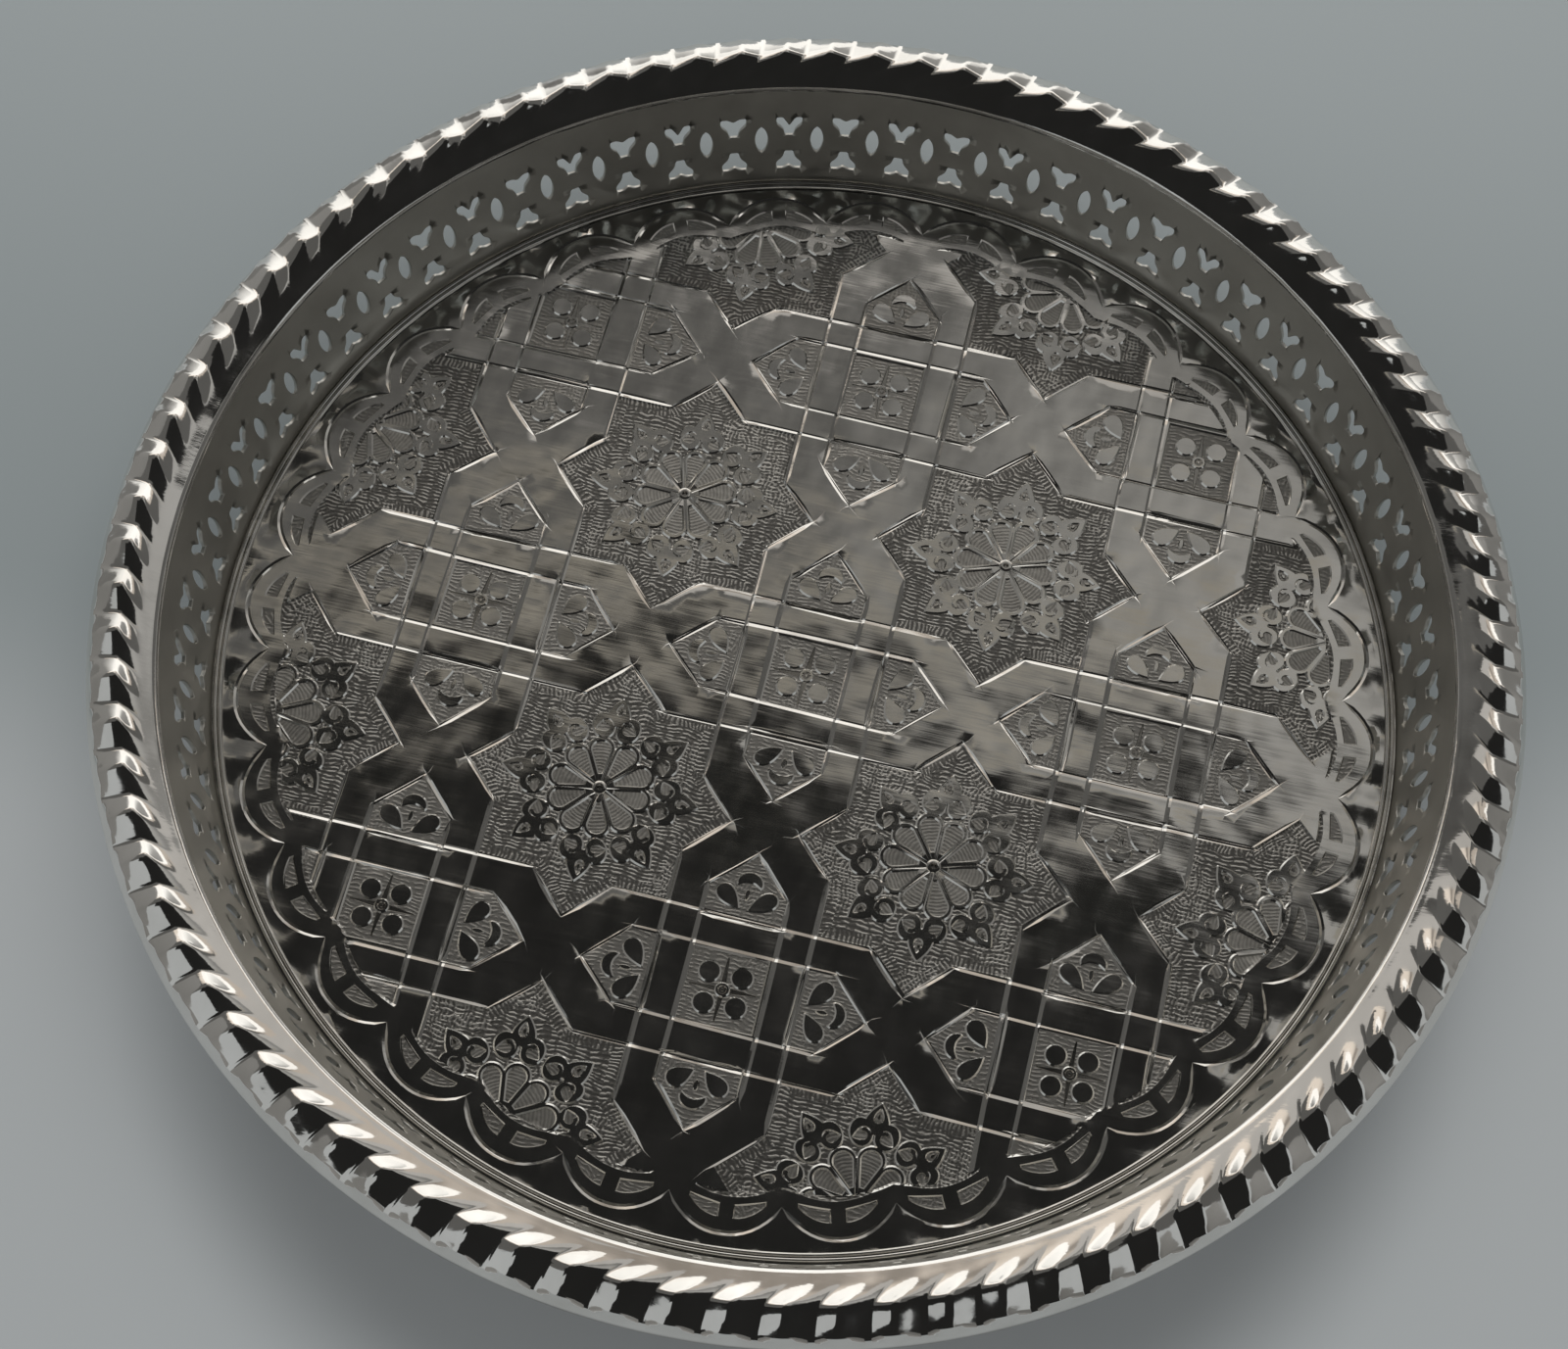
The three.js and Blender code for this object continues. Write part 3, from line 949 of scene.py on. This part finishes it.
class Shader:
    """Short ways to write a material's node tree."""

    def __init__(self, name):
        self.material = bpy.data.materials.new(name)
        self.material.use_nodes = True
        self.tree = self.material.node_tree
        self.bsdf = self.tree.nodes["Principled BSDF"]

    def feed(self, node, inputs):
        for key, value in inputs.items():
            if isinstance(value, bpy.types.NodeSocket):
                self.tree.links.new(value, node.inputs[key])
            else:
                node.inputs[key].default_value = value

    def node(self, kind, inputs, **options):
        node = self.tree.nodes.new(kind)
        for key, value in options.items():
            setattr(node, key, value)
        self.feed(node, inputs)
        return node

    def math(self, operation, a, b=0.0):
        return self.node("ShaderNodeMath", {0: a, 1: b}, operation=operation).outputs[0]

    def hypot(self, a, b):
        return self.math("SQRT", self.math("ADD", self.math("MULTIPLY", a, a), self.math("MULTIPLY", b, b)))

    def span(self, value, low, high, to_low=0.0, to_high=1.0):
        inputs = {0: value, 1: low, 2: high, 3: to_low, 4: to_high}
        return self.node("ShaderNodeMapRange", inputs).outputs[0]

    def ramp(self, share, stops, blend="LINEAR"):
        """A colour by a share; each stop is a place in that share and a colour or a grey."""
        ramp = self.node("ShaderNodeValToRGB", {0: share})
        ramp.color_ramp.interpolation = blend
        elements = ramp.color_ramp.elements
        elements.remove(elements[1])
        for k, (at, colour) in enumerate(stops):
            stop = elements[0] if k == 0 else elements.new(at)
            stop.position = at
            stop.color = (*np.broadcast_to(colour, 3), 1.0)
        return ramp.outputs[0]

    def along(self, direction):
        """How far the shaded point lies along a direction of the view."""
        place = self.node("ShaderNodeNewGeometry", {}).outputs["Position"]
        part = {0: place, 1: VIEW_TURN @ Vector(direction)}
        return self.node("ShaderNodeVectorMath", part, operation="DOT_PRODUCT").outputs["Value"]

    def glowing(self, colour, strength):
        """Ends the tree as a surface that only gives light."""
        self.tree.nodes.remove(self.bsdf)
        glow = self.node("ShaderNodeEmission", {"Color": (*colour, 1.0), "Strength": strength})
        self.tree.links.new(glow.outputs[0], self.tree.nodes["Material Output"].inputs[0])
        return self.material

    def finish(self, **sockets):
        self.feed(self.bsdf, {key.replace("_", " "): value for key, value in sockets.items()})
        return self.material


class Metal(Shader):
    """A metal with marks that keep their place on the object."""

    def __init__(self, name):
        super().__init__(name)
        self.place = self.node("ShaderNodeTexCoord", {}).outputs["Object"]

    def axes(self, vector):
        return self.node("ShaderNodeSeparateXYZ", {0: vector}).outputs

    def noise(self, scale, detail, stretch=None, rough=0.5):
        vector = self.place
        if stretch:
            vector = self.node("ShaderNodeMapping", {"Vector": vector, "Scale": stretch}).outputs[0]
        inputs = {"Vector": vector, "Scale": scale, "Detail": detail, "Roughness": rough}
        return self.node("ShaderNodeTexNoise", inputs).outputs["Fac"]

    def bump(self, height, distance, strength, **more):
        inputs = {"Height": height, "Distance": distance, "Strength": strength, **more}
        return self.node("ShaderNodeBump", inputs).outputs[0]

    def plated(self, tone, colours, rough, normal):
        """Ends the tree as a metal between two colours."""
        colour = self.ramp(tone, ((0.0, colours[0]), (1.0, colours[1])))
        return self.finish(Base_Color=colour, Metallic=1.0, Roughness=rough, Normal=normal)


# Marks in the metal, in metres
WEAR = 0.0012
SCRATCH = 0.00004
STROKE_PITCH = 0.00095
STROKE_LENGTH = 0.0033
STROKE_DRIFT = 0.0038
PETAL_LINE = 0.0008
PETAL_DRIFT = 0.0012
PETAL_DEPTH = 0.00008
LATHE_DEPTH = 0.00004


def silver(name, colours, rough, wear=WEAR):
    """Polished silver plate: cloudy lustre, wiping marks and fine scratches."""
    s = Metal(name)
    cloud = s.noise(38.0, 4.0)
    smudge = s.noise(170.0, 5.0, (1.0, 0.45, 1.0))
    hair = s.noise(900.0, 2.0, (0.06, 1.0, 1.0), 0.7)
    tone = s.span(s.math("ADD", cloud, smudge), 0.7, 1.3)
    gloss = s.span(s.math("ADD", smudge, s.math("MULTIPLY", hair, 0.5)), 0.5, 1.05, *rough)
    worn = s.bump(s.noise(55.0, 2.0), wear, 0.35)
    return s.plated(tone, colours, gloss, s.bump(hair, SCRATCH, 0.25, Normal=worn))


def hatched(name, colours, depth):
    """Matted ground: rows of short chisel strokes, crossed in places, turned to the edge near outlines."""
    s = Metal(name)
    turn = s.node("ShaderNodeAttribute", {}, attribute_name=STROKE_TURN).outputs["Fac"]
    inputs = {"Vector": s.place, "Angle": s.math("MULTIPLY", turn, -1.0)}
    spin = s.node("ShaderNodeVectorRotate", inputs, rotation_type="Z_AXIS").outputs[0]
    x, y, _ = s.axes(spin)
    drift = s.noise(150.0, 3.0)

    def strokes(along, other, seed):
        moved = s.math("ADD", along, s.math("MULTIPLY", drift, STROKE_DRIFT))
        rows = s.math("SINE", s.math("MULTIPLY", moved, 2 * math.pi / STROKE_PITCH))
        cuts = s.math("SINE", s.math("ADD", s.math("MULTIPLY", other, 2 * math.pi / STROKE_LENGTH),
                                     s.math("MULTIPLY", s.noise(620.0 + seed, 1.0), 10.0)))
        return s.math("MULTIPLY", s.span(rows, -0.5, 0.9), s.span(cuts, -0.9, 0.2, 0.15, 1.0))

    crossed = s.span(s.noise(62.0, 1.0), 0.52, 0.6)
    both = s.math("ADD", strokes(y, x, 0.0), s.math("MULTIPLY", strokes(x, y, 40.0), crossed))
    grain = s.math("MULTIPLY", s.noise(2600.0, 2.0), 0.3)
    whole = s.math("ADD", s.math("MINIMUM", both, 1.2), grain)
    patch = s.span(s.noise(48.0, 2.0), 0.35, 0.65, 0.78, 1.0)
    tone = s.math("MULTIPLY", s.span(whole, 0.05, 1.25), patch)
    return s.plated(tone, colours, s.span(whole, 0.0, 1.2, 0.5, 0.4), s.bump(whole, depth, 0.55))


def petal_satin(name, colours):
    """Chased satin of the petals and drops, with fine lines across each petal."""
    s = Metal(name)
    cell = PITCH * MM
    offsets = []
    for axis in s.axes(s.place)[:2]:
        wrapped = s.node("ShaderNodeMath", {0: axis, 1: cell, 2: 0.0}, operation="WRAP").outputs[0]
        offsets.append(s.math("SUBTRACT", wrapped, cell / 2))
    drift = s.math("MULTIPLY", s.noise(260.0, 2.0), PETAL_DRIFT)
    reach = s.math("ADD", s.hypot(*offsets), drift)
    lines = s.math("SINE", s.math("MULTIPLY", reach, 2 * math.pi / PETAL_LINE))
    cloud = s.noise(90.0, 3.0)
    whole = s.math("ADD", s.math("MULTIPLY", lines, 0.25), s.noise(900.0, 3.0))
    tone = s.span(s.math("ADD", whole, cloud), 0.6, 1.5)
    return s.plated(tone, colours, s.span(cloud, 0.3, 0.7, 0.4, 0.5), s.bump(whole, PETAL_DEPTH, 0.6))


def spun(name, colours, rough):
    """Sheet as it left the lathe: fine rings round the axis under a dull lustre."""
    s = Metal(name)
    x, y, z = s.axes(s.place)
    along = s.node("ShaderNodeCombineXYZ", {0: s.hypot(x, y), 2: z}).outputs[0]
    rings = s.node("ShaderNodeTexNoise", {"Vector": along, "Scale": 900.0, "Detail": 3.0}).outputs["Fac"]
    tone = s.span(s.math("ADD", s.noise(30.0, 4.0), s.math("MULTIPLY", rings, 0.5)), 0.45, 1.05)
    return s.plated(tone, colours, s.span(rings, 0.3, 0.7, *rough), s.bump(rings, LATHE_DEPTH, 0.5))


def dress(obj, materials, slot, *nodes):
    for material in materials:
        obj.data.materials.append(material)
    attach(obj, "root")
    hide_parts(*nodes)


strap = silver("polished_strap", ((0.66, 0.645, 0.61), (0.80, 0.785, 0.75)), (0.07, 0.17))
sunken = silver("sunken_polish", ((0.36, 0.35, 0.33), (0.55, 0.54, 0.51)), (0.14, 0.26))
gallery = silver("gallery_polish", ((0.50, 0.49, 0.455), (0.59, 0.58, 0.54)), (0.34, 0.44), WEAR / 5)
bright = silver("bright_polish", ((0.74, 0.725, 0.69), (0.86, 0.845, 0.815)), (0.045, 0.11))
under = spun("spun_underside", ((0.5, 0.49, 0.46), (0.7, 0.685, 0.65)), (0.26, 0.4))
steel = spun("drawn_wire", ((0.42, 0.42, 0.42), (0.6, 0.6, 0.6)), (0.3, 0.42))
ground = hatched("matted_ground", ((0.15, 0.147, 0.14), (0.79, 0.775, 0.735)), 0.00016)
panel = hatched("matted_panel", ((0.37, 0.363, 0.345), (0.58, 0.57, 0.54)), 0.00008)
satin = petal_satin("chased_satin", ((0.37, 0.36, 0.34), (0.64, 0.63, 0.595)))

dress(make_floor(), [strap, ground, sunken, satin, under, panel], "chased_silver", "floor_plate")
dress(make_gallery(), [gallery], "gallery_silver", "gallery_band")
dress(make_bead(), [bright], "bright_silver", "foot_bead")
dress(make_rim(), [bright], "bright_silver", "gadroon_rim")
dress(make_wire(), [steel], "wire_steel", "rim_wire")

# The view: a camera that looks steeply down, with the lattice turned a little
LATTICE_TURN = -0.1899
TILT = 0.4242
ROLL = -0.0554
OFFSET = (0.0374, -0.0003, -4.6153)
FOCAL_PIXELS = 2776.8
IMAGE_WIDTH = 1600
SENSOR = 36.0

# Turns a direction of the view, to the right, away and up, into the scene
VIEW_TURN = Matrix.Rotation(-LATTICE_TURN, 4, "Z")
RIGHT = (1.0, 0.0, 0.0)
AWAY = (0.0, 1.0, 0.0)

camera = bpy.data.cameras.new("camera")
camera.sensor_fit = "HORIZONTAL"
camera.sensor_width = SENSOR
camera.lens = SENSOR * FOCAL_PIXELS / IMAGE_WIDTH
camera.clip_start = 0.01
eye = placed("camera", camera)
turn = Matrix.Rotation(ROLL, 4, "Z") @ Matrix.Rotation(-TILT, 4, "X") @ VIEW_TURN.inverted()
to_camera = Matrix.Translation(Vector(OFFSET) * FOOT_RADIUS * MM) @ turn
eye.matrix_world = Matrix.Translation((0, 0, FLOOR_TOP * MM)) @ to_camera.inverted()
bpy.context.scene.camera = eye

# Table: its colour from near the tray's front to behind it, the tray's shadow painted into that colour just
# before it, and how much it shows lighter than it is lit
TABLE_REACH = 0.25
TABLE_COLOURS = ((0.40, (0.36, 0.375, 0.38)), (0.54, (0.23, 0.255, 0.26)), (0.95, (0.29, 0.315, 0.32)))
TABLE_GLOW = 0.33
TABLE_ROUGH = 0.7
TABLE_RADIUS = 8.0
PAINTED_SHADOW_CENTRE = -0.05
PAINTED_SHADOW_REACH = (0.115, 0.148)
PAINTED_SHADOW_DEPTH = 0.58


def table_material():
    """Matt table, darker behind the tray, with the tray's shadow painted in just before it, that shows a
    little lighter than it is lit.
    """
    s = Shader("table_grey")
    right, away = s.along(RIGHT), s.along(AWAY)
    # Painted shadow: the table's colour is darkened in a circle just before the tray, where the tray's shadow
    # falls.
    reach = s.hypot(right, s.math("SUBTRACT", away, PAINTED_SHADOW_CENTRE))
    shade = s.ramp(s.span(reach, *PAINTED_SHADOW_REACH), ((0.0, PAINTED_SHADOW_DEPTH), (1.0, 1.0)), "EASE")
    full = s.ramp(s.span(away, -TABLE_REACH, TABLE_REACH), TABLE_COLOURS, "EASE")
    colour = s.node("ShaderNodeVectorMath", {0: full, 1: shade}, operation="MULTIPLY").outputs[0]
    path = s.node("ShaderNodeLightPath", {}).outputs
    seen = path["Is Camera Ray"]
    for ray in ("Is Glossy Ray", "Is Transmission Ray"):
        seen = s.math("MAXIMUM", seen, path[ray])
    return s.finish(Base_Color=colour, Roughness=TABLE_ROUGH, Emission_Color=colour,
                    Emission_Strength=s.math("MULTIPLY", seen, TABLE_GLOW))


def stage_sheet(name, verts, faces, material):
    mesh = bpy.data.meshes.new(name)
    mesh.from_pydata(verts, [], faces)
    mesh.materials.append(material)
    obj = placed(name, mesh)
    return obj


def reflected_sheet(name, verts, faces, material):
    """A sheet seen only in the metal."""
    obj = stage_sheet(name, verts, faces, material)
    obj.visible_camera = False
    obj.visible_diffuse = False
    obj.visible_shadow = False


def round_points(radius, count, level):
    return [(*point, level) for point in polar(radius, np.arange(count) * 2 * math.pi / count)]


def rectangle(left, right, near, far):
    return [(left, near), (right, near), (right, far), (left, far)]


CARD_HEIGHT = 6.0
CARD_WHITE = (1.0, 0.985, 0.95)


def overhead(name, outline, colour, strength, height=CARD_HEIGHT, grades=None):
    """A card high above, its outline given by slopes to the right and away; grades dull it along both."""
    s = Shader(name)
    if grades:
        sideways = s.ramp(s.span(s.along(RIGHT), -height, height), grades[0])
        outwards = s.ramp(s.span(s.along(AWAY), 0.0, height), grades[1])
        strength = s.math("MULTIPLY", s.math("MULTIPLY", sideways, outwards), strength)
    verts = [tuple(VIEW_TURN @ Vector((u * height, v * height, height))) for u, v in outline]
    reflected_sheet(name, verts, [tuple(range(len(verts)))], s.glowing(colour, strength))


# Glow of the wall by its place round the studio: from the camera over its left, behind the tray, and back
WALL_PEAK = 1.3
WALL_RADIUS = 12.0
WALL_STEPS = 48
LOW_GLOW = ((0.0, 0.2), (0.1, 0.2), (0.25, 0.15), (0.42, 0.13), (0.46, 0.9), (0.50, 1.0), (0.56, 0.9),
            (0.60, 0.15), (0.75, 0.15), (0.9, 0.18))
HIGH_GLOW = ((0.0, 0.15), (0.06, 0.15), (0.11, 0.18), (0.25, 0.16), (0.38, 0.2), (0.42, 0.85), (0.50, 1.0),
             (0.53, 0.85), (0.56, 0.3), (0.62, 0.15), (0.75, 0.2), (0.86, 0.12), (0.93, 0.12))


def ring_card(name, glow, low, high):
    """A wall round the studio."""
    s = Shader(name)
    turn = s.math("ARCTAN2", s.along(RIGHT), s.along(AWAY))
    share = s.ramp(s.span(turn, -math.pi, math.pi), glow)
    verts = round_points(WALL_RADIUS, WALL_STEPS, low) + round_points(WALL_RADIUS, WALL_STEPS, high)
    faces = band(range(WALL_STEPS, 2 * WALL_STEPS), range(WALL_STEPS))
    reflected_sheet(name, verts, faces, s.glowing(CARD_WHITE, s.math("MULTIPLY", share, WALL_PEAK)))


table = round_points(TABLE_RADIUS, 64, 0.0)
stage_sheet("table", table, [tuple(range(len(table)))], table_material())

# Cards overhead: black over the near half, a warm band, grey over the far half, dull sides, light beyond
dark_near = [(-0.95, -0.35), (-0.50, -0.40), (-0.40, -0.80), (-0.70, -0.95), (-0.70, -1.75), (0.95, -1.75)]
dark_edge = [(0.95, 0.2), (0.52, 0.2), (0.44, 0.36), (0.24, 0.37), (0.16, 0.42), (0.06, 0.41), (0.0, 0.44),
             (-0.06, 0.455), (-0.11, 0.465), (-0.16, 0.465), (-0.24, 0.435), (-0.44, 0.37), (-0.52, 0.2),
             (-0.95, 0.2)]
warm_edge = [(-0.28, 0.44), (-0.14, 0.475), (0.16, 0.44), (0.24, 0.455), (0.22, 0.505), (0.1, 0.485),
             (0.0, 0.505), (-0.13, 0.515), (-0.28, 0.475)]
overhead("dark_flag", dark_near + dark_edge, (1.0, 1.0, 0.97), 0.016, 5.95)
overhead("warm_band", warm_edge, (1.0, 0.93, 0.8), 0.34, 5.97)
overhead("grey_flag", rectangle(-0.52, 0.52, 0.18, 0.70), CARD_WHITE, 0.40,
         grades=(((0.36, 0.31), (0.5, 0.41), (0.6, 1.0)), ((0.42, 1.0), (0.5, 0.95), (0.64, 0.62))))
for left, right in ((-1.6, -0.52), (0.52, 1.6)):
    overhead("side_flag", rectangle(left, right, 0.0, 1.1), CARD_WHITE, 0.11, 5.98)
overhead("soft_panel", rectangle(-1.5, 1.5, 0.70, 0.96), (1.0, 0.965, 0.92), 0.5)
overhead("cove_panel", rectangle(-1.5, 1.5, 0.96, 1.32), (1.0, 0.89, 0.78), 0.9,
         grades=(((0.37, 1.0), (0.43, 0.85), (0.49, 0.36), (0.54, 0.36), (0.6, 0.62)), ((0.5, 1.0),)))
overhead("bright_panel", rectangle(-1.5, 1.5, 1.32, 2.3), (1.0, 0.97, 0.93), 1.25)
ring_card("low_wall", LOW_GLOW, 0.5, 2.5)
ring_card("high_wall", HIGH_GLOW, 2.5, 7.5)

lamp = bpy.data.lights.new("soft_lamp", "AREA")
lamp.shape = "RECTANGLE"
lamp.size = 1.4
lamp.size_y = 0.8
lamp.energy = 6.0
lamp.color = (1.0, 0.975, 0.94)
soft = placed("soft_lamp", lamp)
soft.location = VIEW_TURN @ Vector((0.2, 0.9, 1.2))
soft.rotation_euler = (-soft.location).to_track_quat("-Z", "Y").to_euler()
soft.visible_glossy = False

world = bpy.data.worlds.new("studio")
world.use_nodes = True
background = world.node_tree.nodes["Background"].inputs
background["Color"].default_value = (0.80, 0.83, 0.84, 1.0)
background["Strength"].default_value = 0.55
bpy.context.scene.world = world
bpy.context.scene.view_settings.view_transform = "Standard"
